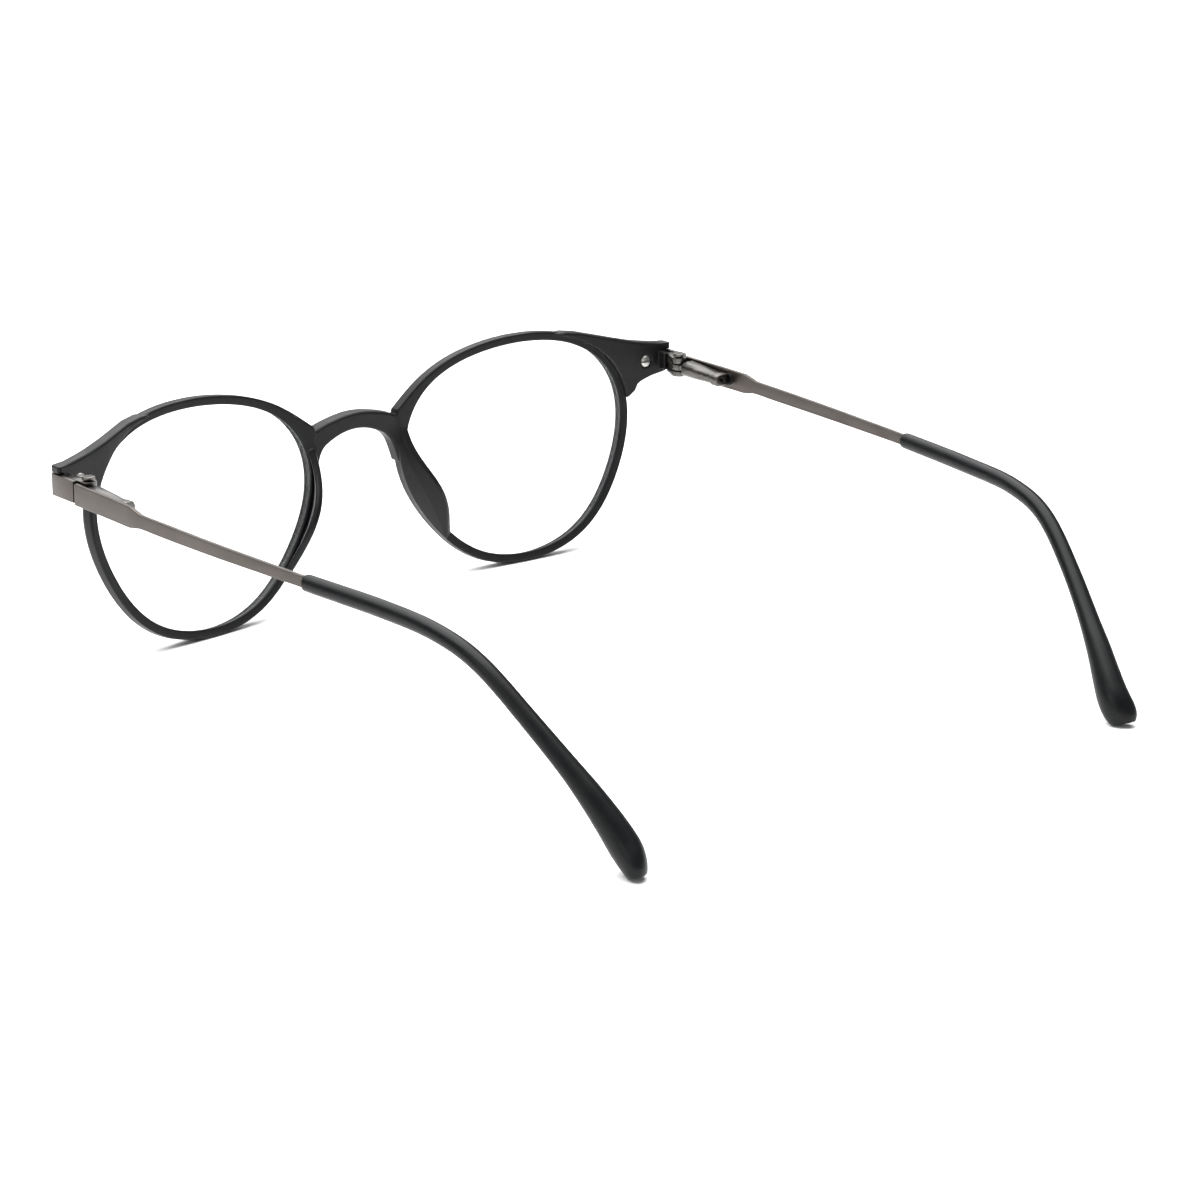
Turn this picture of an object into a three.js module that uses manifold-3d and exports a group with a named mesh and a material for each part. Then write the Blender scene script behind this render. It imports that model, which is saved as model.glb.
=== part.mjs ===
// Round full-rim spectacles with sprung hinges, built as separate parts.
// Units are millimetres. +Z is up, the front faces -Y, the temples run toward +Y,
// and +X is the wearer's left. The glasses stand on both rims and both tips at z = 0.
import * as THREE from "three";
import Module from "manifold-3d";

const wasm = await Module();
wasm.setup();
const { Manifold, Mesh } = wasm;

// ---- driving dimensions -------------------------------------------------
const LENS_CX = 35.68;          // lens centre from the mirror plane
const LENS_Z = 22.31;           // lens centre above the table
const PANTO = -6.86;            // front tilt, top forward
const WRAP = 5.0;               // each lens turned outward
const CURVE_X = 5.2e-3;         // front curvature across
const CURVE_Z = 4.2e-3;         // front curvature up and down
const OPEN_R = 22.09;           // mean radius of the lens opening
const OPEN_C = [0, 0, 2.01, -0.31, -0.06, -0.10];
const OPEN_S = [0, 0, 0.03, 1.03, -0.05, 0.25];
const RIM_W = 1.54;             // rim width seen from the front
const RIM_T = 3.07;             // rim thickness front to back
const GROOVE = 0.98;            // depth of the lens groove
const LENS_EDGE = 0.62;         // lens edge past the opening
const LENS_T = 1.1;             // lens thickness
const PAD_H = 5.5;              // nose pad reach behind the rim
const PAD_T = 1.35;             // nose pad wall
const PIN_X = 66.5;             // hinge axis
const PIN_Y = 12.0;
const PLATE_X = 69.1;           // outer face of the end plate
const PLATE_T = 0.8;
const PLATE_Z0 = 32.95;
const PLATE_Z1 = 36.75;
const PLATE_Y0 = 3.95;
const PLATE_Y1 = 11.1;          // butt face against the temple
const BUTT = 0.38;              // gap at the butt
const BARREL_R = 1.4;
const PIN_HOLE = 0.75;
const PIN_R = 0.45;
const EYE_Z0 = 34.35;
const EYE_Z1 = 35.35;
const SCREW_X = 63.9;           // plate screw
const SCREW_Z = 34.95;
const SCREW_HEAD = 1.12;
const HOUSE = { x0: 65.1, x1: 67.95, y0: 14.2, y1: 22.4 };
const BORE_X = 66.6;
const BORE_Z = 34.72;
const BORE_R = 0.9;
const STEM_R = 0.2;
const WIRE_R = 0.085;
const COIL_R = 0.48;
const CORE_R = 0.42;            // core wire inside the tip
const CORE_BORE = 0.74;
const MID_Y = 69.06;            // middle of the depth, moved to y = 0 at the end
// temple centreline, hinge to tip end
const PATH = [
  [68.72, PLATE_Y1, 34.5], [68.72, 20, 34.42], [68.75, 28, 34.3], [68.6, 34, 34.1],
  [67.84, 50, 33.8], [66.9, 63, 33.6], [65.91, 75, 33.4], [64.1, 92, 32.95],
  [63.04, 104, 32.0], [61.73, 113, 28.97], [59.21, 122, 21.64], [55.83, 131.5, 12.17],
  [53.58, 138, 4.18], [54.0, 141.6, 0.2],
];

// ---- materials ----------------------------------------------------------
const MAT = {
  frame: new THREE.MeshStandardMaterial({ color: 0x232427, roughness: 0.55 }),
  tip: new THREE.MeshStandardMaterial({ color: 0x1b1d1f, roughness: 0.45 }),
  lens: new THREE.MeshStandardMaterial({
    color: 0xf4f8fa, roughness: 0.03, transparent: true, opacity: 0.2 }),
  gun: new THREE.MeshStandardMaterial({ color: 0x6f6a66, metalness: 0.9, roughness: 0.38 }),
  steel: new THREE.MeshStandardMaterial({ color: 0xb8b6b2, metalness: 0.95, roughness: 0.25 }),
};

// ---- small helpers ------------------------------------------------------
const V = (x, y, z) => new THREE.Vector3(x, y, z);
const RAD = Math.PI / 180;
const lerp = (a, b, t) => a + (b - a) * t;

function solid(points, tris) {
  const p = new Float32Array(points.length * 3);
  points.forEach((q, i) => p.set([q.x, q.y, q.z], i * 3));
  const m = new Mesh({ numProp: 3, vertProperties: p, triVerts: new Uint32Array(tris.flat()) });
  m.merge();
  let s = new Manifold(m);
  if (s.volume() < 0) {
    const flip = tris.map((t) => [t[0], t[2], t[1]]);
    s = new Manifold(new Mesh({
      numProp: 3, vertProperties: p, triVerts: new Uint32Array(flip.flat()) }));
  }
  return s;
}

// skin a list of equal-length rings; closed joins the last ring to the first
function skin(rings, closed = false) {
  const n = rings[0].length;
  const pts = rings.flat();
  const tris = [];
  const last = closed ? rings.length : rings.length - 1;
  for (let i = 0; i < last; i += 1) {
    const a = i * n;
    const b = ((i + 1) % rings.length) * n;
    for (let j = 0; j < n; j += 1) {
      const k = (j + 1) % n;
      tris.push([a + j, b + j, b + k], [a + j, b + k, a + k]);
    }
  }
  if (!closed) {
    const e = (rings.length - 1) * n;
    const c0 = pts.length;
    const mid = (r) => r.reduce((s, q) => s.add(q), V(0, 0, 0)).multiplyScalar(1 / r.length);
    pts.push(mid(rings[0]), mid(rings[rings.length - 1]));
    for (let j = 0; j < n; j += 1) {
      const k = (j + 1) % n;
      tris.push([c0, j, k], [c0 + 1, e + k, e + j]);
    }
  }
  return solid(pts, tris);
}

// plan outline [x, y] raised from z0 to z1
function plan(outline, z0, z1) {
  const s = Manifold.extrude([outline], z1 - z0);
  const t = s.translate([0, 0, z0]);
  return t.volume() > 0 ? t : Manifold.extrude([outline.slice().reverse()], z1 - z0)
    .translate([0, 0, z0]);
}

function box(x0, x1, y0, y1, z0, z1) {
  return Manifold.cube([x1 - x0, y1 - y0, z1 - z0]).translate([x0, y0, z0]);
}

// cylinder along z or y
function rodZ(x, y, z0, z1, r, n = 24) {
  return Manifold.cylinder(z1 - z0, r, r, n).translate([x, y, z0]);
}

function rodY(x, z, y0, y1, r, n = 20) {
  return Manifold.cylinder(y1 - y0, r, r, n).rotate([-90, 0, 0]).translate([x, y0, z]);
}

function circle(x, y, r, n, a0 = 0, a1 = 360) {
  const out = [];
  for (let i = 0; i <= n; i += 1) {
    const a = lerp(a0, a1, i / n) * RAD;
    out.push([x + r * Math.cos(a), y + r * Math.sin(a)]);
  }
  if (a1 - a0 === 360) out.pop();
  return out;
}

// ---- lens plane ---------------------------------------------------------
function openRadius(th) {
  let r = OPEN_R;
  for (let k = 2; k < 6; k += 1) r += OPEN_C[k] * Math.cos(k * th) + OPEN_S[k] * Math.sin(k * th);
  return r;
}

// outline point at angle th, pushed outward by o
function outline(th, o) {
  const h = 1e-3;
  const at = (t) => [openRadius(t) * Math.cos(t), openRadius(t) * Math.sin(t)];
  const [x, y] = at(th);
  const [x1, y1] = at(th + h);
  const [x0, y0] = at(th - h);
  const l = Math.hypot(x1 - x0, y1 - y0);
  return [x + (o * (y1 - y0)) / l, y - (o * (x1 - x0)) / l];
}

// from lens coordinates (u outward, v up, d rearward) to the part
function place(u, v, d) {
  const w = WRAP * RAD;
  const t = PANTO * RAD;
  const dep = d + (CURVE_X * u * u) / 2 + (CURVE_Z * v * v) / 2;
  const yb = u * Math.sin(w) + dep * Math.cos(w);
  return V(
    LENS_CX + u * Math.cos(w) - dep * Math.sin(w),
    yb * Math.cos(t) + v * Math.sin(t),
    LENS_Z - yb * Math.sin(t) + v * Math.cos(t),
  );
}

function ring(o, d, n) {
  const out = [];
  for (let i = 0; i < n; i += 1) {
    const [u, v] = outline((i / n) * 2 * Math.PI, o);
    out.push(place(u, v, d));
  }
  return out;
}

// ---- front frame --------------------------------------------------------
const RIM_SECTION = [
  [0.14, 0], [RIM_W - 0.26, 0], [RIM_W, -0.26], [RIM_W + 0.1, -1.9],
  [RIM_W - 0.2, -2.55], [RIM_W - 0.6, -RIM_T + 0.1], [0.72, -RIM_T + 0.04], [0.5, -2.6],
  [GROOVE, -2.36],
  [GROOVE, -0.62], [0, -0.55], [0, -0.14],
];
const RIM_N = 72;
const SHOULDER = 2.3;
const SHOULDER_AT = 159;

// extra width where the rim's nasal shoulder runs into the bridge
function flare(th) {
  const away = th / RAD - SHOULDER_AT;
  return SHOULDER * Math.exp(away < 0 ? away / 8.5 : -away / 4);
}

function rimRing() {
  const rings = [];
  for (let i = 0; i < RIM_N; i += 1) {
    const th = (i / RIM_N) * 2 * Math.PI;
    rings.push(RIM_SECTION.map(([o, d]) => {
      const [u, v] = outline(th, o > 1 ? o + flare(th) : o);
      return place(u, v, d);
    }));
  }
  return skin(rings, true);
}

// everything inside the rim, used to keep the opening and the groove clear
function openingPlug(rear) {
  const rings = [];
  for (const d of [-6, -3.2, rear]) rings.push(ring(GROOVE + 0.05, d, RIM_N));
  return skin(rings);
}

// curved wall behind the nasal side of the rim
function nosePad() {
  const rings = [];
  const n = 15;
  for (let i = 0; i <= n; i += 1) {
    const t = i / n;
    const th = lerp(164, 219.5, t) * RAD;
    const h = PAD_H * Math.pow(Math.sin(Math.PI * Math.pow(lerp(0.03, 0.97, t), 1.06)), 1.1);
    const slope = 0.5;
    const foot = -1.6;
    const sec = [
      [1.5, foot], [1.62, 0], [1.62 - slope * h * 0.5, h * 0.55], [1.5 - slope * h, h * 0.94],
      [1.2 - slope * h, h], [0.6 - slope * h, h * 0.97], [0.3 - slope * h, h * 0.88],
      [1.62 - PAD_T - slope * h * 0.5, h * 0.5], [1.05, -0.1], [1.05, foot],
    ];
    rings.push(sec.map(([o, d]) => {
      const [u, v] = outline(th, o);
      return place(u, v, d);
    }));
  }
  return skin(rings);
}

// saddle bridge, one half, from the mirror plane into the rim
function bridgeHalf() {
  const path = [
    [-0.01, -3.15, 32.75, 0, 1.5], [2.2, -3.15, 32.58, -6, 1.52],
    [4.3, -3.15, 32.12, -15, 1.6], [6.4, -3.15, 31.45, -28, 1.8],
    [8.4, -3.15, 30.5, -45, 2.05], [9.8, -3.0, 28.8, -62, 2.05],
    [10.5, -2.8, 26.6, -76, 1.9], [11.0, -2.4, 23.6, -86, 1.65],
  ];
  const rings = path.map(([x, y, z, a, hw]) => {
    const c = Math.cos(a * RAD);
    const s = Math.sin(a * RAD);
    const sec = [
      [-hw + 0.3, 1.5], [hw - 0.3, 1.5], [hw, 1.2], [hw, -1.1], [hw - 0.5, -1.55],
      [-hw + 0.5, -1.55], [-hw, -1.1], [-hw, 1.2],
    ];
    return sec.map(([k, dy]) => V(x - k * s, y + dy, z + k * c));
  });
  return skin(rings);
}

const endFront = (x) => 0.02 + 0.29 * (x - 55);
const endBack = (x) => endFront(x) + lerp(2.95, 2.6, Math.min(1, Math.max(0, (x - 56) / 12)));

// end piece: a tapering lug from the upper temporal rim to the corner
function endPiece() {
  const st = [
    [45.0, 42.0, 40.2], [48.0, 42.2, 38.5], [51.0, 41.75, 35.0], [54.0, 41.0, 31.0],
    [57.0, 40.2, 27.0],
    [58.6, 39.78, 27.2], [59.6, 39.52, 27.9], [60.6, 39.27, 28.3], [61.8, 39.0, 29.3],
    [62.2, 38.93, 30.4], [63.1, 38.78, 31.1], [65.2, 38.45, 31.95], [68.0, 38.1, 32.6],
  ];
  const rings = st.map(([x, zt, zb]) => {
    const lens = lerp(-2.6, endFront(x), Math.min(1, Math.max(0, (x - 45) / 10)));
    const yf = x < 55 ? lens : endFront(x);
    const yb = x < 55 ? lens + 2.95 : endBack(x);
    const c = x < 46 ? 0.8 : 0.3;
    return [
      V(x, yb, zb + c), V(x, yb - c, zb), V(x, yf + c, zb), V(x, yf, zb + c),
      V(x, yf, zt - 0.5), V(x, yf + 0.5, zt), V(x, yb - c, zt), V(x, yb, zt - c),
    ];
  });
  const lug = skin(rings);
  const y = endBack(67.3);
  const stub = box(66.6, 68.0, y - 0.6, y + 1.5, 33.3, 36.5);
  const cap = plan([
    [66.8, endFront(66.8) + 0.1], [68.5, endFront(68.5) + 0.1], [68.95, endFront(68.95) + 0.5],
    [68.95, endBack(68) - 0.3], [68.7, endBack(68) - 0.05], [66.8, endBack(66.8) - 0.1],
  ], PLATE_Z1 + 0.3, 37.9);
  return lug.add(stub).add(cap);
}

// direction of the front leaf, and its rearward normal
const LEAF = Math.atan(0.29);
const leafAt = (x) => endFront(x);

// flat leaf seat and bores
function endCuts() {
  const c = 0.3;
  const leaf = plan([
    [61.2, leafAt(61.2) - 2], [61.2, leafAt(61.2) + 0.8 + c], [69, leafAt(69) + 0.8 + c],
    [69, leafAt(69) - 2],
  ], PLATE_Z0 - c, PLATE_Z1 + c);
  const y = endBack(SCREW_X);
  const post = rodY(SCREW_X, SCREW_Z, 0, y - 1.0, 1.45, 24);
  const shank = rodY(SCREW_X, SCREW_Z, 0, y + 2, 0.75, 20);
  const head = rodY(SCREW_X, SCREW_Z, y - 0.3, y + 2, SCREW_HEAD + 0.3, 28);
  return leaf.add(post).add(shank).add(head);
}

function frontFrame() {
  const through = openingPlug(8);
  const lug = bridgeHalf().add(endPiece()).subtract(through);
  const pad = nosePad().subtract(openingPlug(0.02));
  const half = rimRing().add(lug).add(pad).subtract(endCuts());
  const both = half.add(half.mirror([1, 0, 0]));
  return both.trimByPlane([0, 0, 1], 0);
}

function lensBody() {
  const n = 56;
  const back = (k) => ring((LENS_EDGE + OPEN_R) * (k - 1) + LENS_EDGE, -0.95, n);
  const front = (k) => ring((LENS_EDGE + OPEN_R) * (k - 1) + LENS_EDGE, -0.95 - LENS_T, n);
  const rings = [back(0.35), back(0.7), back(1), front(1), front(0.7), front(0.35)];
  return skin(rings);
}

// ---- hinge --------------------------------------------------------------
function endPlate() {
  const x1 = PLATE_X;
  const t = PLATE_T;
  const xi = x1 - t;
  const lf = (x, k) => [x - k * Math.sin(LEAF), leafAt(x) + k * Math.cos(LEAF)];
  const out = [
    [x1, PLATE_Y1], [x1, PLATE_Y0 + 0.75], [x1 - 0.12, PLATE_Y0 + 0.3], [x1 - 0.45, PLATE_Y0],
    lf(61.8, 0), lf(61.8, t - 0.05), lf(67.9, t - 0.05), [xi, leafAt(67.9) + 1.3],
    [xi, PLATE_Y1],
  ];
  const body = plan(out, PLATE_Z0, PLATE_Z1);
  const y = endBack(SCREW_X);
  const post = rodY(SCREW_X, SCREW_Z, leafAt(SCREW_X) + 0.2, y - 1.3, 1.15, 24);
  const bore = rodY(SCREW_X, SCREW_Z, leafAt(SCREW_X) + 0.45, y + 1, 0.72, 20);
  return body.add(post).subtract(bore);
}

function hingeBarrels() {
  const blk = box(66.9, PLATE_X - PLATE_T - 0.3, 7.95, 9.9, PLATE_Z0 + 0.15, PLATE_Z1 - 0.1);
  const shape = [[PLATE_X - PLATE_T - 0.3, 7.95], [PLATE_X - PLATE_T - 0.3, 11.4]]
    .concat(circle(PIN_X, PIN_Y, BARREL_R, 14, 20, 200)).concat([[66.0, 9.6], [66.9, 7.95]]);
  const up = plan(shape, EYE_Z1 + 0.3, PLATE_Z1 - 0.1);
  const lo = plan(shape, PLATE_Z0 + 0.15, EYE_Z0 - 0.3);
  const hole = rodZ(PIN_X, PIN_Y, 30, 40, PIN_HOLE, 24);
  return blk.add(up).add(lo).subtract(hole);
}

function hingeScrew() {
  const top = PLATE_Z1 - 0.1;
  const shank = rodZ(PIN_X, PIN_Y, PLATE_Z0 - 0.1, top + 0.4, PIN_R, 20);
  const head = rodZ(PIN_X, PIN_Y, top + 0.3, top + 0.75, 1.15, 28);
  const slot = box(PIN_X - 2, PIN_X + 2, PIN_Y - 0.14, PIN_Y + 0.14, top + 0.5, top + 2);
  return shank.add(head).subtract(slot);
}

function plateScrew() {
  const y = endBack(SCREW_X);
  const shank = rodY(SCREW_X, SCREW_Z, leafAt(SCREW_X) + 0.8, y + 0.05, 0.42, 16);
  const head = rodY(SCREW_X, SCREW_Z, y, y + 0.42, SCREW_HEAD, 28);
  const slot = box(SCREW_X - 2, SCREW_X + 2, y + 0.2, y + 2, SCREW_Z - 0.13, SCREW_Z + 0.13);
  return shank.add(head).subtract(slot);
}

function springSlider() {
  const eye = plan(circle(PIN_X, PIN_Y, BARREL_R - 0.02, 28), EYE_Z0, EYE_Z1);
  const tongue = box(BORE_X - 0.95, BORE_X + 0.85, PIN_Y + 0.4, HOUSE.y0 - 0.3, EYE_Z0, EYE_Z1);
  const hole = rodZ(PIN_X, PIN_Y, 30, 40, PIN_HOLE, 24);
  const stem = rodY(BORE_X, BORE_Z, HOUSE.y0 - 0.5, 19.0, STEM_R, 12);
  const rivet = rodY(BORE_X, BORE_Z, 18.9, 19.15, 0.5, 16);
  return eye.add(tongue).subtract(hole).add(stem).add(rivet);
}

function springHousing() {
  const h = HOUSE;
  // [y, bottom, top, inner face]
  const rows = [
    [h.y0, 33.35, 36.15, h.x0], [h.y0 + 4, 33.42, 35.85, h.x0], [h.y1, 33.55, 35.42, h.x0 + 0.1],
  ];
  const back = [
    [h.y1 - 0.1, 33.55, 35.42, h.x0 + 0.1], [h.y1 + 0.2, 33.32, 35.62, h.x0 - 0.1],
    [h.y1 + 1.5, 33.32, 35.62, h.x0 - 0.1], [h.y1 + 1.75, 33.5, 35.45, h.x0 + 0.1],
  ];
  const sec = ([y, lo, hi, xi]) => {
    const c = 0.42 * (hi - lo);
    const r = [V(h.x1, y, lo), V(h.x1, y, hi)];
    for (let i = 0; i <= 4; i += 1) {
      const a = (90 + 22.5 * i) * RAD;
      r.push(V(xi + c + c * Math.cos(a), y, hi - c + c * Math.sin(a)));
    }
    for (let i = 0; i <= 4; i += 1) {
      const a = (180 + 22.5 * i) * RAD;
      r.push(V(xi + c + c * Math.cos(a), y, lo + c + c * Math.sin(a)));
    }
    return r;
  };
  const body = skin(rows.map(sec)).add(skin(back.map(sec)));
  const bore = rodY(BORE_X, BORE_Z, h.y0 - 1, 19.6, BORE_R, 20);
  const vent = rodY(BORE_X, BORE_Z - 0.2, 19, h.y1 + 3, 0.4, 14);
  return body.subtract(bore).subtract(vent);
}

function coil() {
  const turns = 5;
  const per = 14;
  const y0 = 15.95;
  const y1 = 17.7;
  const rings = [];
  const m = 6;
  for (let i = 0; i <= turns * per; i += 1) {
    const s = i / (turns * per);
    const a = s * turns * 2 * Math.PI;
    const c = V(BORE_X + COIL_R * Math.cos(a), lerp(y0, y1, s), BORE_Z + COIL_R * Math.sin(a));
    const out = V(Math.cos(a), 0, Math.sin(a));
    rings.push(Array.from({ length: m }, (_, j) => {
      const b = (j / m) * 2 * Math.PI;
      return c.clone().addScaledVector(out, WIRE_R * Math.cos(b))
        .add(V(0, WIRE_R * Math.sin(b), 0));
    }));
  }
  return skin(rings);
}

function bush(y0, y1) {
  return rodY(BORE_X, BORE_Z, y0, y1, 0.66, 20).subtract(rodY(BORE_X, BORE_Z, 0, 40, 0.38, 16));
}

// ---- temple -------------------------------------------------------------
const SPLINE = new THREE.CatmullRomCurve3(PATH.map((p) => V(...p)), false, "centripetal");

// parameter of the centreline at a given distance back (y)
function paramAtY(y) {
  let a = 0;
  let b = 1;
  for (let i = 0; i < 40; i += 1) {
    const m = (a + b) / 2;
    if (SPLINE.getPoint(m).y < y) a = m;
    else b = m;
  }
  return (a + b) / 2;
}

// ring across the centreline: [lateral, in-plane] offsets
function cross(y, sec) {
  const t = paramAtY(y);
  const p = SPLINE.getPoint(t);
  const d = SPLINE.getTangent(t);
  const side = V(d.y, -d.x, 0).normalize();
  const up = new THREE.Vector3().crossVectors(side, d).normalize();
  return sec.map(([s, u]) => p.clone().addScaledVector(side, s).addScaledVector(up, u));
}

const ellipse = (a, b, n) => Array.from({ length: n }, (_, i) => {
  const t = (i / n) * 2 * Math.PI;
  return [a * Math.cos(t), b * Math.sin(t)];
});

function templeBar() {
  const rows = [
    [PLATE_Y1 + BUTT, 0.4, 1.9], [26.5, 0.4, 1.86], [28.6, 0.4, 1.8], [30.2, 0.4, 1.45], [32.0, 0.4, 1.2],
    [38, 0.4, 1.2], [52, 0.4, 1.12], [64, 0.4, 1.04], [73.7, 0.4, 0.98],
  ];
  const rings = rows.map(([y, a, b]) => cross(y, [
    [-a, -b + 0.12], [-a + 0.12, -b], [a - 0.12, -b], [a, -b + 0.12],
    [a, b - 0.12], [a - 0.12, b], [-a + 0.12, b], [-a, b - 0.12],
  ]));
  const strip = skin(rings);
  const core = [70, 76, 84, 92, 98, 104, 109, 113, 117, 122, 125];
  const wire = skin(core.map((y) => cross(y, ellipse(CORE_R, CORE_R, 8))));
  return strip.add(wire);
}

// [y, half thickness, half width, twist in degrees]
const TIP_ROWS = [
  [74.1, 1.05, 1.05, 0], [74.35, 1.25, 1.25, 0], [74.8, 1.37, 1.37, 0], [80, 1.38, 1.4, 0],
  [88, 1.4, 1.43, 0], [96, 1.4, 1.43, 0], [102, 1.4, 1.42, 0], [106, 1.4, 1.42, 0],
  [109.5, 1.4, 1.42, 0], [113, 1.42, 1.4, 2], [118, 1.46, 1.4, 9], [122, 1.54, 1.42, 14],
  [126, 1.66, 1.5, 16], [129, 1.8, 1.65, 17], [131.5, 2.0, 1.92, 18], [134, 2.2, 2.24, 19],
  [136, 2.35, 2.57, 22], [138, 2.5, 2.86, 25], [139.8, 2.15, 2.9, 23], [141.4, 1.65, 2.8, 20],
];

function templeTip() {
  const outer = skin(TIP_ROWS.map(([y, a, b, twist]) => {
    const c = Math.cos(twist * RAD);
    const k = Math.sin(twist * RAD);
    return cross(y, ellipse(a, b, 18).map(([p, q]) => [p * c + q * k, q * c - p * k]));
  }));
  const rows = [72.5, 76, 84, 92, 98, 104, 109, 113, 117, 122, 125.6];
  const bore = skin(rows.map((y) => cross(y, ellipse(CORE_BORE, CORE_BORE, 8))));
  let tip = outer.subtract(bore);
  const a = 15 * RAD;
  tip = tip.trimByPlane([0, -Math.sin(a), Math.cos(a)], -Math.sin(a) * 138.0);
  tip = tip.trimByPlane([0, -Math.sin(1.0), Math.cos(1.0)], -Math.sin(1.0) * 142.0);
  return tip.trimByPlane([0, 0, 1], 0);
}

// ---- assembly -----------------------------------------------------------
const group = new THREE.Group();
group.name = "round_wire_eyeglasses";
group.position.y = -MID_Y;

function toMesh(name, body, mat) {
  const m = body.getMesh();
  const g = new THREE.BufferGeometry();
  const pos = new Float32Array(m.numVert * 3);
  for (let i = 0; i < m.numVert; i += 1) {
    for (let k = 0; k < 3; k += 1) pos[i * 3 + k] = m.vertProperties[i * m.numProp + k];
  }
  g.setAttribute("position", new THREE.BufferAttribute(pos, 3));
  g.setIndex(new THREE.BufferAttribute(new Uint32Array(m.triVerts), 1));
  g.computeVertexNormals();
  const mesh = new THREE.Mesh(g, mat);
  mesh.name = name;
  group.add(mesh);
}

toMesh("front_frame", frontFrame(), MAT.frame);
const LEFT = [
  ["lens", lensBody(), MAT.lens],
  ["end_plate", endPlate(), MAT.gun],
  ["hinge_barrels", hingeBarrels(), MAT.gun],
  ["plate_screw", plateScrew(), MAT.steel],
  ["hinge_screw", hingeScrew(), MAT.steel],
  ["temple_bar", templeBar(), MAT.gun],
  ["spring_housing", springHousing(), MAT.gun],
  ["spring_slider", springSlider(), MAT.steel],
  ["spring", coil(), MAT.steel],
  ["spring_stop", bush(14.5, 15.65), MAT.steel],
  ["spring_washer", bush(18.4, 18.65), MAT.steel],
  ["temple_tip", templeTip(), MAT.tip],
];
for (const [name, body, mat] of LEFT) {
  toMesh(`left_${name}`, body, mat);
  toMesh(`right_${name}`, body.mirror([1, 0, 0]), mat);
}

export default group;
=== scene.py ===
import math

import bmesh
import bpy
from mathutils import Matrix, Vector


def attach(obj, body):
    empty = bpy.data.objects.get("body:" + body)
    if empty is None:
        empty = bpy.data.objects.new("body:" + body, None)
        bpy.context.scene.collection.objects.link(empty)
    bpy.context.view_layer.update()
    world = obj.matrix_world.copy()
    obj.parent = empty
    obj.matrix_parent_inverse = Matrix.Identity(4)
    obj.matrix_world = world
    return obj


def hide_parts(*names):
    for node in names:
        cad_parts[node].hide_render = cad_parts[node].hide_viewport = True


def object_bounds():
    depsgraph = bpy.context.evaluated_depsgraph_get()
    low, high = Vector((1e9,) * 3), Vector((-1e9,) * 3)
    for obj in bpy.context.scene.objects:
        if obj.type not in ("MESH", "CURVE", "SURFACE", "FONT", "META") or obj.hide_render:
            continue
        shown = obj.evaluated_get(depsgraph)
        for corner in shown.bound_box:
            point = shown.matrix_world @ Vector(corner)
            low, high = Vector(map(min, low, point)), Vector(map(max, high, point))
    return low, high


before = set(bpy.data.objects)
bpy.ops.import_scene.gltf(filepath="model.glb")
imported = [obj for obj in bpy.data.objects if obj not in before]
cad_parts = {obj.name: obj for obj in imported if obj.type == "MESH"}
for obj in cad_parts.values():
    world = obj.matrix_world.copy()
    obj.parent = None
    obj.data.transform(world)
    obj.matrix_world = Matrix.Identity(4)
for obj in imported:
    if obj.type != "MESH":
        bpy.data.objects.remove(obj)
CAD_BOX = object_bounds()

# Shapes are worked out in millimetres with the front at y = 0, as in the CAD source, and are
# written to the meshes in metres about the middle of the depth.
MM = 0.001
MID_Y = 69.06

# ---- driving dimensions, the same as the CAD model's -----------------------
LENS_CX, LENS_Z = 35.68, 22.31          # middle of the left lens opening
PANTO = math.radians(-6.86)             # the lens plane's lean
WRAP = math.radians(5.0)                # and its turn towards the temple
CURVE_X, CURVE_Z = 5.2e-3, 4.2e-3       # curvature of the front, across and upward
OPEN_R = 22.09                          # opening's mean radius, then how it varies with the angle
OPEN_COS = {2: 2.01, 3: -0.31, 4: -0.06, 5: -0.10}
OPEN_SIN = {2: 0.03, 3: 1.03, 4: -0.05, 5: 0.25}
RIM_W, RIM_T = 1.54, 3.07
GROOVE = 0.98                           # depth of the lens groove
LENS_EDGE, LENS_T = 0.62, 1.1           # how far the lens goes into the groove, its thickness
LENS_BACK, LENS_BREAK = 0.95, 0.12      # its rear face ahead of the rim's, its broken edge
PAD_H, PAD_T = 5.5, 1.35
PAD_FROM, PAD_TO = 164, 219.5           # the pad's two ends round the rim, in degrees
SHOULDER, SHOULDER_AT = 2.3, 159        # extra rim width at the bridge, and its angle
END_T, END_TIP_T = 2.95, 2.6            # end piece's thickness beside the rim and at its tip
PLATE_T = 0.8
PLATE_Z0, PLATE_Z1 = 32.95, 36.75
PLATE_Y1, BUTT = 11.1, 0.38             # rear end of the plate, and the gap to the strip
SCREW_X, SCREW_Z, SCREW_HEAD = 63.9, 34.95, 1.12
STRIP_HALF, STRIP_END = 0.4, 73.7       # strip's half thickness and its rear end
BORE_X, BORE_Z, BORE_R = 65.95, 33.62, 0.74

# The temple's centreline, from the end plate to the tip.
PATH = [
    (68.72, PLATE_Y1, 34.5), (68.72, 20, 34.42), (68.75, 28, 34.3), (68.6, 34, 34.1),
    (67.84, 50, 33.8), (66.9, 63, 33.6), (65.91, 75, 33.4), (64.1, 92, 32.95),
    (63.04, 104, 32.0), (61.73, 113, 28.97), (59.21, 122, 21.64), (55.83, 131.5, 12.17),
    (53.58, 138, 4.18), (54.0, 141.6, 0.2),
]


# ---- numbers and curves ------------------------------------------------------
def lerp(a, b, t):
    return a + (b - a) * t


def between(x, x0, x1):
    """How far x is from x0 to x1, from 0 to 1."""
    return min(1, max(0, (x - x0) / (x1 - x0)))


def turn(n):
    """The angles of n equal steps round a circle."""
    return [2 * math.pi * i / n for i in range(n)]


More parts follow.
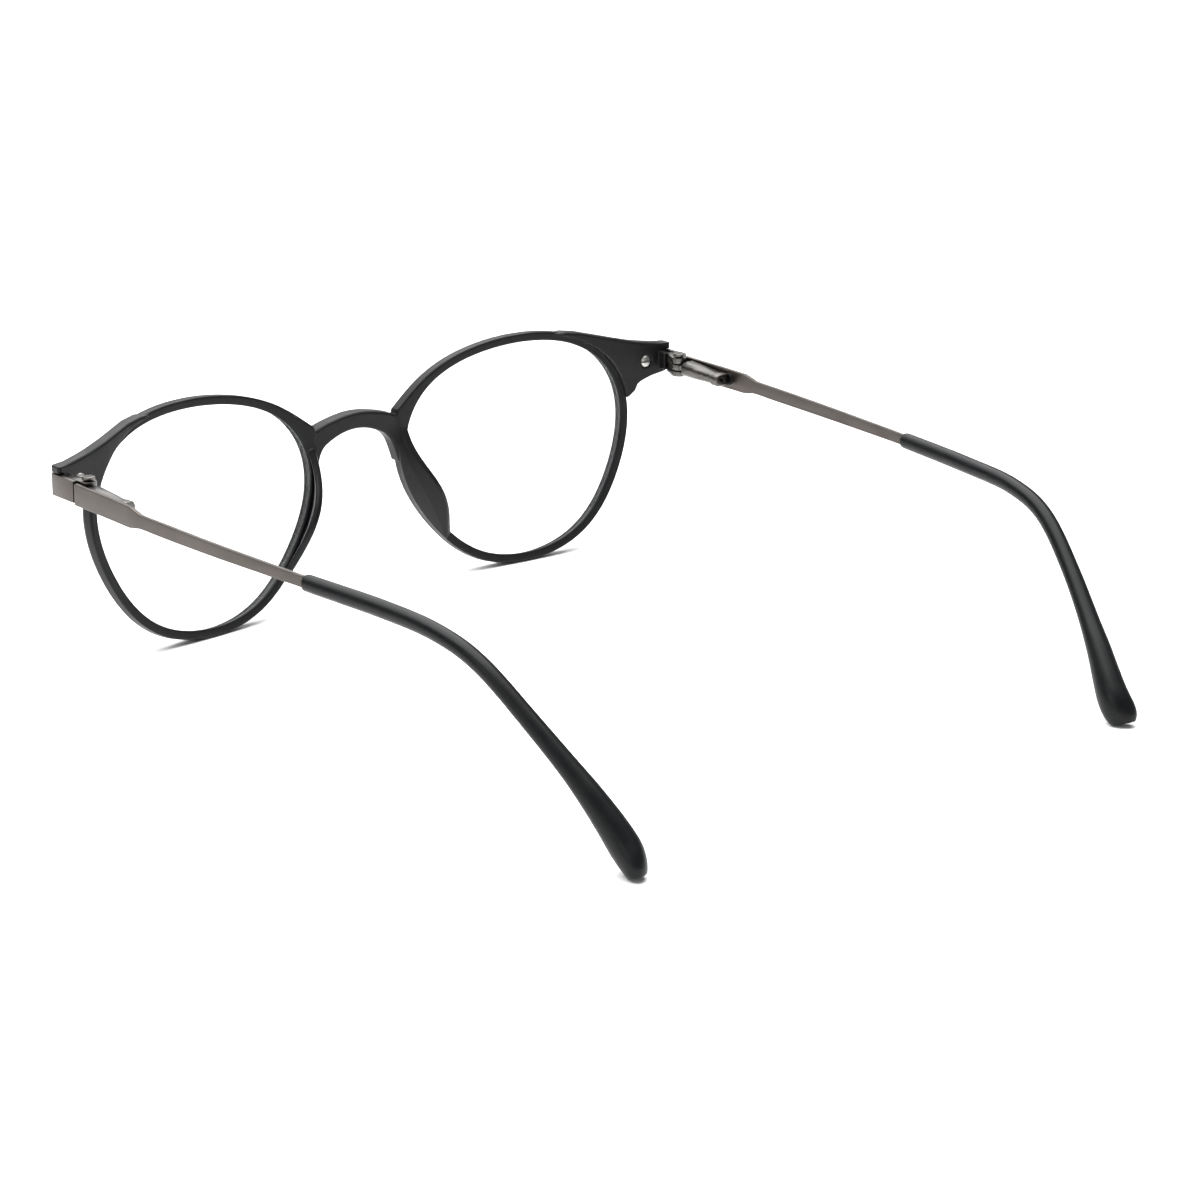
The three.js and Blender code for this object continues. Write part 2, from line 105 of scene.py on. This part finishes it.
def smooth_rows(rows, per):
    """Rows of numbers joined by a smooth curve, with per steps between each two."""
    out = []
    last = len(rows) - 1
    for i in range(last):
        p0, p1, p2, p3 = rows[max(i - 1, 0)], rows[i], rows[i + 1], rows[min(i + 2, last)]
        for k in range(per):
            t = k / per
            out.append(tuple(
                0.5 * (2 * b + (c - a) * t + (2 * a - 5 * b + 4 * c - d) * t * t
                       + (3 * b - a - 3 * c + d) * t ** 3)
                for a, b, c, d in zip(p0, p1, p2, p3)))
    return out + [tuple(rows[-1])]


# ---- mesh helpers ------------------------------------------------------------
def linked(name, mesh):
    """A new object for the mesh, in the scene."""
    ob = bpy.data.objects.new(name, mesh)
    bpy.context.scene.collection.objects.link(ob)
    return ob


def mesh_object(name, verts, faces):
    """A mesh object from points and faces."""
    me = bpy.data.meshes.new(name)
    me.from_pydata([tuple(v) for v in verts], [], faces)
    me.update()
    ob = linked(name, me)
    bm = bmesh.new()
    bm.from_mesh(me)
    bmesh.ops.recalc_face_normals(bm, faces=bm.faces)
    bm.to_mesh(me)
    bm.free()
    return ob


def skin(name, rings, closed=False):
    """Rings of equal length joined by quads; an open skin is capped."""
    n = len(rings[0])
    verts = [p for ring in rings for p in ring]
    faces = []
    for i in range(len(rings) if closed else len(rings) - 1):
        a, b = i * n, ((i + 1) % len(rings)) * n
        for j in range(n):
            k = (j + 1) % n
            faces.append((a + j, b + j, b + k, a + k))
    if not closed:
        faces.append(tuple(range(n)))
        faces.append(tuple(reversed(range((len(rings) - 1) * n, len(rings) * n))))
    return mesh_object(name, verts, faces)


def prism(name, plan, z0, z1):
    """A plan outline [(x, y)] raised from z0 to z1."""
    return skin(name, [[(x, y, z) for x, y in plan] for z in (z0, z1)])


def block(name, low, high):
    (x0, y0, z0), (x1, y1, z1) = low, high
    return prism(name, [(x0, y0), (x1, y0), (x1, y1), (x0, y1)], z0, z1)


def rod_y(name, x, z, y0, y1, r):
    """A round rod along y."""
    ring = [(x + r * math.cos(a), z + r * math.sin(a)) for a in turn(48)]
    return skin(name, [[(u, y, w) for u, w in ring] for y in (y0, y1)])


def apply_modifiers(ob):
    deps = bpy.context.evaluated_depsgraph_get()
    me = bpy.data.meshes.new_from_object(ob.evaluated_get(deps))
    ob.modifiers.clear()
    old = ob.data
    ob.data = me
    bpy.data.meshes.remove(old)


def combine(a, b, operation):
    """Boolean of two objects; the second one is used up."""
    m = a.modifiers.new("boolean", "BOOLEAN")
    m.operation = operation
    m.object = b
    m.solver = "EXACT"
    bpy.context.view_layer.update()
    apply_modifiers(a)
    bpy.data.objects.remove(b)
    return a


def cut_plane(ob, point, normal):
    """Cuts away what lies beyond the plane and closes the cut."""
    bm = bmesh.new()
    bm.from_mesh(ob.data)
    geom = bm.verts[:] + bm.edges[:] + bm.faces[:]
    cut = bmesh.ops.bisect_plane(
        bm, geom=geom, plane_co=point, plane_no=normal, clear_outer=True)
    edges = [e for e in cut["geom_cut"] if isinstance(e, bmesh.types.BMEdge)]
    bmesh.ops.contextual_create(bm, geom=edges)
    bm.to_mesh(ob.data)
    bm.free()


def mirrored(ob, name):
    """A copy reflected in the plane between the eyes."""
    me = ob.data.copy()
    me.transform(((-1, 0, 0, 0), (0, 1, 0, 0), (0, 0, 1, 0), (0, 0, 0, 1)))
    me.flip_normals()
    return linked(name, me)


def to_frame(ob):
    """From millimetres about the front to metres about the middle, kept inside the CAD box."""
    low, high = CAD_BOX
    for v in ob.data.vertices:
        v.co.y -= MID_Y
        v.co *= MM
        v.co = [min(max(c, a), b) for c, a, b in zip(v.co, low, high)]
    ob.data.update()
    return ob


def smooth(ob, angle=180):
    """Smooth shading, with edges sharper than the angle kept sharp."""
    for p in ob.data.polygons:
        p.use_smooth = True
    if angle < 180:
        ob.data.set_sharp_from_angle(angle=math.radians(angle))


def moulded(ob, voxel, rounds, keep):
    """Rounds every edge and blends every joint, as a moulding has them."""
    m = ob.modifiers.new("remesh", "REMESH")
    m.mode = "VOXEL"
    m.voxel_size = voxel
    s = ob.modifiers.new("smooth", "SMOOTH")
    s.factor = 0.5
    s.iterations = rounds
    g = ob.modifiers.new("keep size", "DISPLACE")
    g.mid_level = 0
    g.strength = 0.06                   # what the smoothing takes off
    d = ob.modifiers.new("decimate", "DECIMATE")
    d.ratio = keep
    apply_modifiers(ob)
    smooth(ob)
    return ob


# ---- lens plane ----------------------------------------------------------------
def opening(th):
    """The lens opening's outline at angle th, from its middle."""
    r = OPEN_R
    r += sum(c * math.cos(k * th) for k, c in OPEN_COS.items())
    r += sum(s * math.sin(k * th) for k, s in OPEN_SIN.items())
    return r * math.cos(th), r * math.sin(th)


def outline(th, out):
    """The opening's outline at angle th, pushed outward by out."""
    h = 1e-3
    x, y = opening(th)
    x1, y1 = opening(th + h)
    x0, y0 = opening(th - h)
    length = math.hypot(x1 - x0, y1 - y0)
    return x + out * (y1 - y0) / length, y - out * (x1 - x0) / length


def place(u, v, d):
    """Lens coordinates (outward, up, rearward) to the part."""
    depth = d + CURVE_X * u * u / 2 + CURVE_Z * v * v / 2
    rear = u * math.sin(WRAP) + depth * math.cos(WRAP)
    return (
        LENS_CX + u * math.cos(WRAP) - depth * math.sin(WRAP),
        rear * math.cos(PANTO) + v * math.sin(PANTO),
        LENS_Z - rear * math.sin(PANTO) + v * math.cos(PANTO),
    )


# ---- front frame ----------------------------------------------------------------
def flare(th):
    """Extra width where the rim's nasal shoulder runs into the bridge."""
    away = math.degrees(th) - SHOULDER_AT
    return SHOULDER * math.exp(away / 8.5 if away < 0 else -away / 4)


def rim():
    """The section (outward, rearward) carried round the opening."""
    section = [
        (0.1, 0), (RIM_W - 0.2, 0), (RIM_W, -0.2), (RIM_W + 0.1, -1.9), (RIM_W - 0.2, -2.55),
        (RIM_W - 0.6, -RIM_T + 0.1), (0.72, -RIM_T + 0.04), (0.5, -2.6), (GROOVE, -2.36),
        (GROOVE, -0.62), (0, -0.55), (0, -0.1),
    ]
    rings = [
        [place(*outline(th, out + flare(th) if out > 1 else out), d) for out, d in section]
        for th in turn(180)
    ]
    return skin("rim", rings, closed=True)


def opening_plug(rear):
    """Fills the opening and its groove, from in front of the rim to rear."""
    rings = [[place(*outline(th, GROOVE + 0.05), d) for th in turn(180)] for d in (-6, -3.2, rear)]
    return skin("plug", rings)


def nose_pad():
    """A thin leaf that stands on the back of the rim and leans away from the nose."""
    steps = 44
    foot = -1.6                         # how deep its root goes into the rim
    root = 1.62                         # its outer face at the rim
    rings = []
    for i in range(steps + 1):
        t = i / steps
        th = math.radians(lerp(PAD_FROM, PAD_TO, t))
        h = PAD_H * math.sin(math.pi * lerp(0.03, 0.97, t) ** 1.06) ** 1.1
        lean = 0.5 * h
        section = [
            (1.5, foot), (root, 0), (root - lean * 0.5, h * 0.55), (1.5 - lean, h * 0.94),
            (1.2 - lean, h), (0.6 - lean, h * 0.97), (0.3 - lean, h * 0.88),
            (root - PAD_T - lean * 0.5, h * 0.5), (1.05, -0.1), (1.05, foot),
        ]
        rings.append([place(*outline(th, out), d) for out, d in section])
    return skin("pad", rings)


def bridge():
    """The saddle, from inside one rim to inside the other."""
    # x, y, z, lean in degrees and half width, from the middle to the left rim
    half = [
        (0, -3.15, 32.75, 0, 1.5), (2.2, -3.15, 32.58, -6, 1.52), (4.3, -3.15, 32.12, -15, 1.6),
        (6.4, -3.15, 31.45, -28, 1.8), (8.4, -3.15, 30.5, -45, 2.05), (9.8, -3.0, 28.8, -62, 2.05),
        (10.5, -2.8, 26.6, -76, 1.9), (11.0, -2.4, 23.6, -86, 1.65),
    ]
    right = [(-x, y, z, -lean, hw) for x, y, z, lean, hw in reversed(half[1:])]
    rings = []
    for x, y, z, lean, hw in smooth_rows(right + half, 4):
        c, s = math.cos(math.radians(lean)), math.sin(math.radians(lean))
        section = [
            (-hw + 0.3, 1.5), (hw - 0.3, 1.5), (hw, 1.2), (hw, -1.1), (hw - 0.5, -1.55),
            (-hw + 0.5, -1.55), (-hw, -1.1), (-hw, 1.2),
        ]
        rings.append([(x - k * s, y + dy, z + k * c) for k, dy in section])
    return skin("bridge", rings)


def end_front(x):
    """The end piece's front face, which slants back to the corner."""
    return 0.02 + 0.29 * (x - 55)


def end_back(x):
    return end_front(x) + lerp(END_T, END_TIP_T, between(x, 56, 68))


def end_piece():
    """The taper from the top of the rim out to the corner, with the cap over the end plate."""
    # x, top and bottom
    stations = [
        (45.0, 42.0, 40.2), (48.0, 42.2, 38.5), (51.0, 41.75, 35.0), (54.0, 41.0, 31.0),
        (57.0, 40.2, 27.0), (58.6, 39.78, 27.2), (59.6, 39.52, 27.9), (60.6, 39.27, 28.3),
        (61.8, 39.0, 29.3), (62.2, 38.93, 30.4), (63.1, 38.78, 31.1), (65.2, 38.45, 31.95),
        (68.0, 38.1, 32.6),
    ]
    rings = []
    for x, top, low in stations:
        yf = lerp(-2.6, end_front(x), between(x, 45, 55))
        yb = yf + END_T if x < 55 else end_back(x)
        c = 0.8 if x < 46 else 0.3
        rings.append([
            (x, yb, low + c), (x, yb - c, low), (x, yf + c, low), (x, yf, low + c),
            (x, yf, top - 0.5), (x, yf + 0.5, top), (x, yb - c, top), (x, yb, top - c),
        ])
    lug = skin("lug", rings)
    y = end_back(67.3)
    combine(lug, block("stub", (66.6, y - 0.6, 33.3), (68.0, y + 1.5, 36.5)), "UNION")
    x0, x1, x2 = 66.0, 68.6, 68.95
    corner = [
        (x0, end_front(x0) + 0.02), (x1, end_front(x1)), (x2, end_front(x2) + 0.35),
        (x2, end_back(x2) - 0.4), (x1, end_back(x1)), (x0, end_back(x0) - 0.02),
    ]
    return combine(lug, prism("corner", corner, PLATE_Z1 + 0.25, 38.12), "UNION")


def end_cuts(body):
    """The seat of the plate's front leaf, and the holes for its post and its screw."""
    c = 0.3                             # clearance round the leaf
    x0, x1 = 61.2, 69
    y0, y1 = end_front(x0), end_front(x1)
    leaf = [(x0, y0 - 2), (x1, y1 - 2), (x1, y1 + PLATE_T + c), (x0, y0 + PLATE_T + c)]
    combine(body, prism("leaf", leaf, PLATE_Z0 - c, PLATE_Z1 + c), "DIFFERENCE")
    back = end_back(SCREW_X)
    post = (0, back - 1.0, 1.45)
    shank = (0, back + 2, 0.75)
    head = (back - 0.25, back + 2, SCREW_HEAD + 0.12)
    for a, b, r in (post, shank, head):
        combine(body, rod_y("cut", SCREW_X, SCREW_Z, a, b, r), "DIFFERENCE")
    return body


def front_frame():
    """One half, cut at the middle and at the table, then joined to its mirror image."""
    lug = combine(combine(bridge(), end_piece(), "UNION"), opening_plug(8), "DIFFERENCE")
    pad = combine(nose_pad(), opening_plug(0.02), "DIFFERENCE")
    body = combine(combine(rim(), lug, "UNION"), pad, "UNION")
    body = end_cuts(body)
    overlap = 0.01                      # the halves meet with this much in common
    half_space = block("half space", (-overlap, -30, 0.0), (90, 30, 60))
    body = combine(body, half_space, "INTERSECT")
    body = combine(body, mirrored(body, "twin"), "UNION")
    body.name = "front_moulding"
    return moulded(body, 0.13, 3, 0.45)


# ---- lenses -----------------------------------------------------------------------
def lens():
    """Two domed faces of scaled rings, joined by an edge with a small break on each side."""
    steps = [0.03, 0.2, 0.4, 0.6, 0.8, 0.92, 1.0]
    rear = -LENS_BACK
    front = rear - LENS_T

    def ring(k, d, inset=0.0):
        points = [outline(th, LENS_EDGE - inset) for th in turn(160)]
        return [place(k * u, k * v, d) for u, v in points]

    def face(scales, d):
        return [ring(k, d, LENS_BREAK if k == 1 else 0) for k in scales]

    edge = [ring(1, rear - LENS_BREAK), ring(1, front + LENS_BREAK)]
    ob = skin("lens", face(steps, rear) + edge + face(reversed(steps), front))
    smooth(ob, 40)
    return ob


# ---- temples -----------------------------------------------------------------------
ROUTE = smooth_rows(PATH, 24)


def frame_at(y):
    """Point, sideways and upward directions of the temple's centreline at depth y."""
    i = min(range(1, len(ROUTE) - 1), key=lambda k: abs(ROUTE[k][1] - y))
    a, b = ROUTE[i - 1], ROUTE[i + 1]
    t = (y - a[1]) / (b[1] - a[1])
    point = Vector(a).lerp(Vector(b), t)
    along = (Vector(b) - Vector(a)).normalized()
    side = Vector((along.y, -along.x, 0)).normalized()
    return point, side, side.cross(along).normalized()


def across(y, section):
    """A section (sideways, up) set square to the temple at depth y."""
    point, side, up = frame_at(y)
    return [tuple(point + side * s + up * u) for s, u in section]


def rounded_box(a, b, r):
    """Half sizes a and b, corner radius r."""
    steps = 4
    corners = ((a - r, b - r, 0), (r - a, b - r, 90), (r - a, r - b, 180), (a - r, r - b, 270))
    out = []
    for cx, cy, start in corners:
        for k in range(steps + 1):
            t = math.radians(start + 90 * k / steps)
            out.append((cx + r * math.cos(t), cy + r * math.sin(t)))
    return out


def temple_strip():
    """The flat strip, wide beside the hinge and narrow behind it."""
    # y and half width
    rows = [
        (PLATE_Y1 + BUTT, 1.9), (26.5, 1.86), (28.4, 1.8), (30.2, 1.45), (32.0, 1.2),
        (38, 1.2), (52, 1.12), (64, 1.04), (STRIP_END, 0.98),
    ]
    rings = [across(y, rounded_box(STRIP_HALF, b, 0.14)) for y, b in smooth_rows(rows, 6)]
    ob = skin("temple_strip", rings)
    smooth(ob, 35)
    return ob


# y, half thickness, half width, twist in degrees
TIP_ROWS = [
    (74.1, 1.05, 1.05, 0), (74.35, 1.25, 1.25, 0), (74.8, 1.37, 1.37, 0), (80, 1.38, 1.4, 0),
    (88, 1.4, 1.43, 0), (96, 1.4, 1.43, 0), (102, 1.4, 1.42, 0), (106, 1.4, 1.42, 0),
    (109.5, 1.4, 1.42, 0), (113, 1.42, 1.4, 2), (118, 1.46, 1.4, 9), (122, 1.54, 1.42, 14),
    (126, 1.66, 1.5, 16), (129, 1.8, 1.65, 17), (131.5, 2.0, 1.92, 18), (134, 2.2, 2.24, 19),
    (136, 2.35, 2.57, 22), (138, 2.45, 2.8, 25), (139.6, 2.15, 2.75, 23), (140.8, 1.6, 2.2, 21),
    (141.4, 0.9, 1.3, 20),
]


def temple_tip():
    """The sleeve, bored for the strip's core wire and trimmed at its lower end."""
    rings = []
    for y, a, b, twist in smooth_rows(TIP_ROWS, 5):
        c, s = math.cos(math.radians(twist)), math.sin(math.radians(twist))
        oval = [(a * math.cos(t), b * math.sin(t)) for t in turn(48)]
        rings.append(across(y, [(p * c + q * s, q * c - p * s) for p, q in oval]))
    ob = skin("tip", rings)
    # two slanting trims: the angle in radians, and where the plane meets the table
    for angle, y in ((math.radians(15), 138.0), (1.0, 142.0)):
        down = Vector((0, math.sin(angle), -math.cos(angle)))
        cut_plane(ob, Vector((0, y, 0)), down)
    cut_plane(ob, Vector((0, 0, 0.02)), Vector((0, 0, -1)))
    combine(ob, rod_y("bore", BORE_X, BORE_Z, 70, 76, BORE_R), "DIFFERENCE")
    return moulded(ob, 0.14, 8, 0.3)


def black_disc():
    """Black disc standing on the inner face of the strip, just behind the spring housing."""
    x, y, z, r = 68.34, 24.15, 34.45, 1.15
    # distance from the strip's face, and radius
    profile = [(-0.2, r), (0.12, r), (0.22, r - 0.1), (0.22, r - 0.35), (0.05, r - 0.45)]
    rings = [
        [(x - out, y + q * math.cos(a), z + q * math.sin(a)) for a in turn(40)]
        for out, q in profile
    ]
    ob = skin("black_disc", rings)
    smooth(ob, 35)
    return ob


# ---- screws and machined metal -----------------------------------------------------
def plate_screw():
    """Slotted head, slightly domed, with its shank."""
    y = end_back(SCREW_X) - 0.12
    r = SCREW_HEAD
    half_slot = 0.15
    # radius, and depth behind the head's seat
    shank = [(0.42, -2.2), (0.42, 0.0)]
    head = [(r, -0.02), (r, 0.04), (r - 0.02, 0.16), (r - 0.12, 0.27), (0.8, 0.37), (0.5, 0.41)]
    rings = [
        [(SCREW_X + q * math.cos(a), y + dy, SCREW_Z + q * math.sin(a)) for a in turn(64)]
        for q, dy in shank + head
    ]
    ob = skin("screw", rings)
    low = (SCREW_X - 2, y + 0.03, SCREW_Z - half_slot)
    high = (SCREW_X + 2, y + 2, SCREW_Z + half_slot)
    combine(ob, block("slot", low, high), "DIFFERENCE")
    smooth(ob, 30)
    return ob


def machined(node, edge):
    """The CAD node's own solid, with flats merged and every edge broken."""
    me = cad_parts[node].data.copy()
    me.materials.clear()
    ob = linked(node + "_finished", me)
    bm = bmesh.new()
    bm.from_mesh(me)
    bmesh.ops.remove_doubles(bm, verts=bm.verts, dist=1e-7)
    bmesh.ops.dissolve_limit(bm, angle_limit=math.radians(1), verts=bm.verts, edges=bm.edges)
    bm.to_mesh(me)
    bm.free()
    m = ob.modifiers.new("bevel", "BEVEL")
    m.width = edge * MM
    m.segments = 3
    m.limit_method = "ANGLE"
    m.angle_limit = math.radians(30)
    apply_modifiers(ob)
    smooth(ob, 32)
    return ob


# ---- materials ----------------------------------------------------------------------
def node_material(name):
    mat = bpy.data.materials.new(name)
    mat.use_nodes = True
    return mat, mat.node_tree, mat.node_tree.nodes["Principled BSDF"]


def add(tree, kind, **inputs):
    """A new node with its inputs set."""
    node = tree.nodes.new(kind)
    for key, value in inputs.items():
        node.inputs[key].default_value = value
    return node


def coords(tree, scale=(1, 1, 1)):
    """The object's own coordinates, stretched by scale."""
    source = tree.nodes.new("ShaderNodeTexCoord")
    mapping = add(tree, "ShaderNodeMapping", Scale=scale)
    tree.links.new(source.outputs["Object"], mapping.inputs["Vector"])
    return mapping.outputs["Vector"]


def noise(tree, vector, scale, detail, rough=0.55):
    node = add(tree, "ShaderNodeTexNoise", Scale=scale, Detail=detail, Roughness=rough)
    tree.links.new(vector, node.inputs["Vector"])
    return node.outputs["Fac"]


def ramp(tree, fac, start, stop):
    """Colours between two stops, each a position and a colour."""
    node = tree.nodes.new("ShaderNodeValToRGB")
    for element, (position, colour) in zip(node.color_ramp.elements, (start, stop)):
        element.position = position
        element.color = colour
    tree.links.new(fac, node.inputs["Fac"])
    return node.outputs["Color"]


def grey(v):
    return (v, v, v, 1)


def bump(tree, bsdf, height, strength, distance):
    node = add(tree, "ShaderNodeBump", Strength=strength, Distance=distance)
    tree.links.new(height, node.inputs["Height"])
    tree.links.new(node.outputs["Normal"], bsdf.inputs["Normal"])


def plastic(name, dark, light, smoothest, roughest):
    """Satin moulding: slow changes of tone, handling marks and a fine grain."""
    mat, tree, bsdf = node_material(name)
    v = coords(tree)
    cloud = noise(tree, v, 60, 3)
    tree.links.new(ramp(tree, cloud, (0.3, dark), (0.7, light)), bsdf.inputs["Base Color"])
    handled = noise(tree, v, 260, 5, 0.6)
    gloss = ramp(tree, handled, (0.3, grey(smoothest)), (0.75, grey(roughest)))
    tree.links.new(gloss, bsdf.inputs["Roughness"])
    grain = noise(tree, v, 5200, 2, 0.5)
    bump(tree, bsdf, grain, 0.18, 0.00003)
    bsdf.inputs["Specular IOR Level"].default_value = 0.2
    return mat


def metal(name, dark, light, smoothest, roughest, stretch, grain):
    """Brushed or turned metal: drawn lines over broad changes of tone."""
    mat, tree, bsdf = node_material(name)
    bsdf.inputs["Metallic"].default_value = 1.0
    lines = noise(tree, coords(tree, stretch), 900, 6, 0.65)
    broad = noise(tree, coords(tree), 140, 3)
    mix = tree.nodes.new("ShaderNodeMix")
    mix.data_type = "RGBA"
    mix.inputs["Factor"].default_value = 0.5
    tree.links.new(ramp(tree, lines, (0.3, dark), (0.7, light)), mix.inputs["A"])
    tree.links.new(ramp(tree, broad, (0.3, dark), (0.7, light)), mix.inputs["B"])
    tree.links.new(mix.outputs["Result"], bsdf.inputs["Base Color"])
    gloss = ramp(tree, lines, (0.25, grey(smoothest)), (0.75, grey(roughest)))
    tree.links.new(gloss, bsdf.inputs["Roughness"])
    bump(tree, bsdf, lines, grain, 0.00004)
    return mat


def lens_material():
    """Clear, with a faint film of handling on the surface."""
    mat, tree, bsdf = node_material("clear lens")
    film = noise(tree, coords(tree), 45, 3)
    gloss = ramp(tree, film, (0.35, grey(0.03)), (0.7, grey(0.07)))
    tree.links.new(gloss, bsdf.inputs["Roughness"])
    bsdf.inputs["Base Color"].default_value = (0.93, 0.96, 0.97, 1)
    bsdf.inputs["IOR"].default_value = 1.5
    bsdf.inputs["Alpha"].default_value = 0.05
    return mat


FRONT_MAT = plastic(
    "satin black moulding", (0.0020, 0.0021, 0.0024, 1), (0.0036, 0.0037, 0.0042, 1), 0.35, 0.46)
TIP_MAT = plastic(
    "satin black sleeve", (0.0016, 0.0019, 0.0023, 1), (0.0028, 0.0033, 0.0038, 1), 0.33, 0.44)
BAR_MAT = metal(
    "brushed gunmetal", (0.064, 0.056, 0.050, 1), (0.094, 0.083, 0.075, 1), 0.30, 0.42,
    (1, 0.03, 1), 0.35)
HINGE_MAT = metal(
    "cast gunmetal", (0.080, 0.076, 0.071, 1), (0.130, 0.124, 0.117, 1), 0.24, 0.38,
    (1, 0.5, 1), 0.3)
STEEL_MAT = metal(
    "turned steel", (0.50, 0.49, 0.47, 1), (0.66, 0.65, 0.63, 1), 0.18, 0.30,
    (1, 1, 1), 0.12)
SCREW_MAT = metal(
    "plated screw", (0.40, 0.39, 0.375, 1), (0.50, 0.49, 0.47, 1), 0.38, 0.48,
    (1, 1, 1), 0.12)
LENS_MAT = lens_material()


# ---- pieces on their bodies -----------------------------------------------------------
SIDES = ("left", "right")
FRONT = {"left": "front", "right": "front"}
TEMPLE = {"left": "left_temple", "right": "right_temple"}
SLIDER = {"left": "left_slider", "right": "right_slider"}


def dress(ob, mat, body, slot, *nodes):
    """Gives a finished piece its material and body, and hides the CAD nodes it stands in for; the
    slot is not used.
    """
    ob.data.materials.clear()
    ob.data.materials.append(mat)
    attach(ob, body)
    if nodes:
        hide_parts(*nodes)


def pair(ob, name, mat, bodies, slot, *nodes):
    """Places a left piece and its mirror image on their bodies."""
    twin = mirrored(ob, "right_" + name)
    ob.name = "left_" + name
    for side, piece in zip(SIDES, (ob, twin)):
        replaced = [f"{side}_{node}" for node in nodes]
        dress(to_frame(piece), mat, bodies[side], slot, *replaced)


dress(to_frame(front_frame()), FRONT_MAT, "front", "frame", "front_frame")
pair(lens(), "lens", LENS_MAT, FRONT, "lens", "lens")
pair(plate_screw(), "screw", SCREW_MAT, FRONT, "screw", "plate_screw")
pair(temple_strip(), "temple_strip", BAR_MAT, TEMPLE, "gunmetal", "temple_bar")
# the black disc standing on each strip's inner face, behind the spring housing
pair(black_disc(), "black_disc", TIP_MAT, TEMPLE, "tip")
pair(temple_tip(), "temple_tip", TIP_MAT, TEMPLE, "tip", "temple_tip")

# node, width of its broken edges, material, bodies and slot
MACHINED = [
    ("end_plate", 0.1, BAR_MAT, FRONT, "gunmetal"),
    ("hinge_barrels", 0.06, HINGE_MAT, FRONT, "gunmetal"),
    ("hinge_screw", 0.05, HINGE_MAT, FRONT, "screw"),
    ("spring_housing", 0.1, HINGE_MAT, TEMPLE, "gunmetal"),
    ("spring_slider", 0.05, HINGE_MAT, SLIDER, "steel"),
]
for side in SIDES:
    for name, edge, mat, bodies, slot in MACHINED:
        node = f"{side}_{name}"
        dress(machined(node, edge), mat, bodies[side], slot, node)
    for name in ("spring", "spring_stop", "spring_washer"):
        spring_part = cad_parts[f"{side}_{name}"]
        spring_part.data.materials.clear()
        spring_part.data.materials.append(STEEL_MAT)


# ---- floor, light and camera ---------------------------------------------------------
def floor():
    ob = mesh_object("floor", [(-3, -3, 0), (3, -3, 0), (3, 3, 0), (-3, 3, 0)], [(0, 1, 2, 3)])
    mat, tree, bsdf = node_material("pale floor")
    tone = noise(tree, coords(tree), 3, 2)
    tree.links.new(ramp(tree, tone, (0.3, grey(0.86)), (0.7, grey(0.9))), bsdf.inputs["Base Color"])
    bsdf.inputs["Roughness"].default_value = 0.9
    ob.data.materials.append(mat)
    return ob


def area_light(name, location, target, size, power):
    data = bpy.data.lights.new(name, "AREA")
    data.shape = "RECTANGLE"
    data.size, data.size_y = size
    data.energy = power
    ob = linked(name, data)
    ob.location = location
    aim = Vector(target) - Vector(location)
    ob.rotation_euler = aim.to_track_quat("-Z", "Y").to_euler()
    return ob


ground = floor()
lights = [
    area_light("overhead", (0, -0.2, 1.1), (0, 0, 0), (1.7, 1.5), 46),
    area_light("left bank", (1.2, 0.2, 0.55), (0, 0, 0.02), (0.5, 0.5), 2.2),
    area_light("far bank", (-0.5, -1.2, 0.7), (0, 0, 0.02), (1.2, 0.5), 5),
]

world = bpy.data.worlds.new("studio")
world.use_nodes = True
background = world.node_tree.nodes["Background"]
background.inputs["Color"].default_value = (1, 1, 1, 1)
background.inputs["Strength"].default_value = 0.32
bpy.context.scene.world = world
bpy.context.scene.view_settings.view_transform = "Standard"

EYE = (0.40894, 0.55592 - MID_Y * MM, 0.21921)
AZIMUTH, ELEVATION = math.radians(140.04), math.radians(17.75)
camera_data = bpy.data.cameras.new("camera")
camera_data.sensor_width = 36
camera_data.lens = 117.0
camera_data.clip_start = 0.01
camera = linked("camera", camera_data)
towards_eye = Vector((
    math.sin(AZIMUTH) * math.cos(ELEVATION),
    -math.cos(AZIMUTH) * math.cos(ELEVATION),
    math.sin(ELEVATION),
))
camera.location = EYE
camera.rotation_euler = towards_eye.to_track_quat("Z", "Y").to_euler()
bpy.context.scene.camera = camera
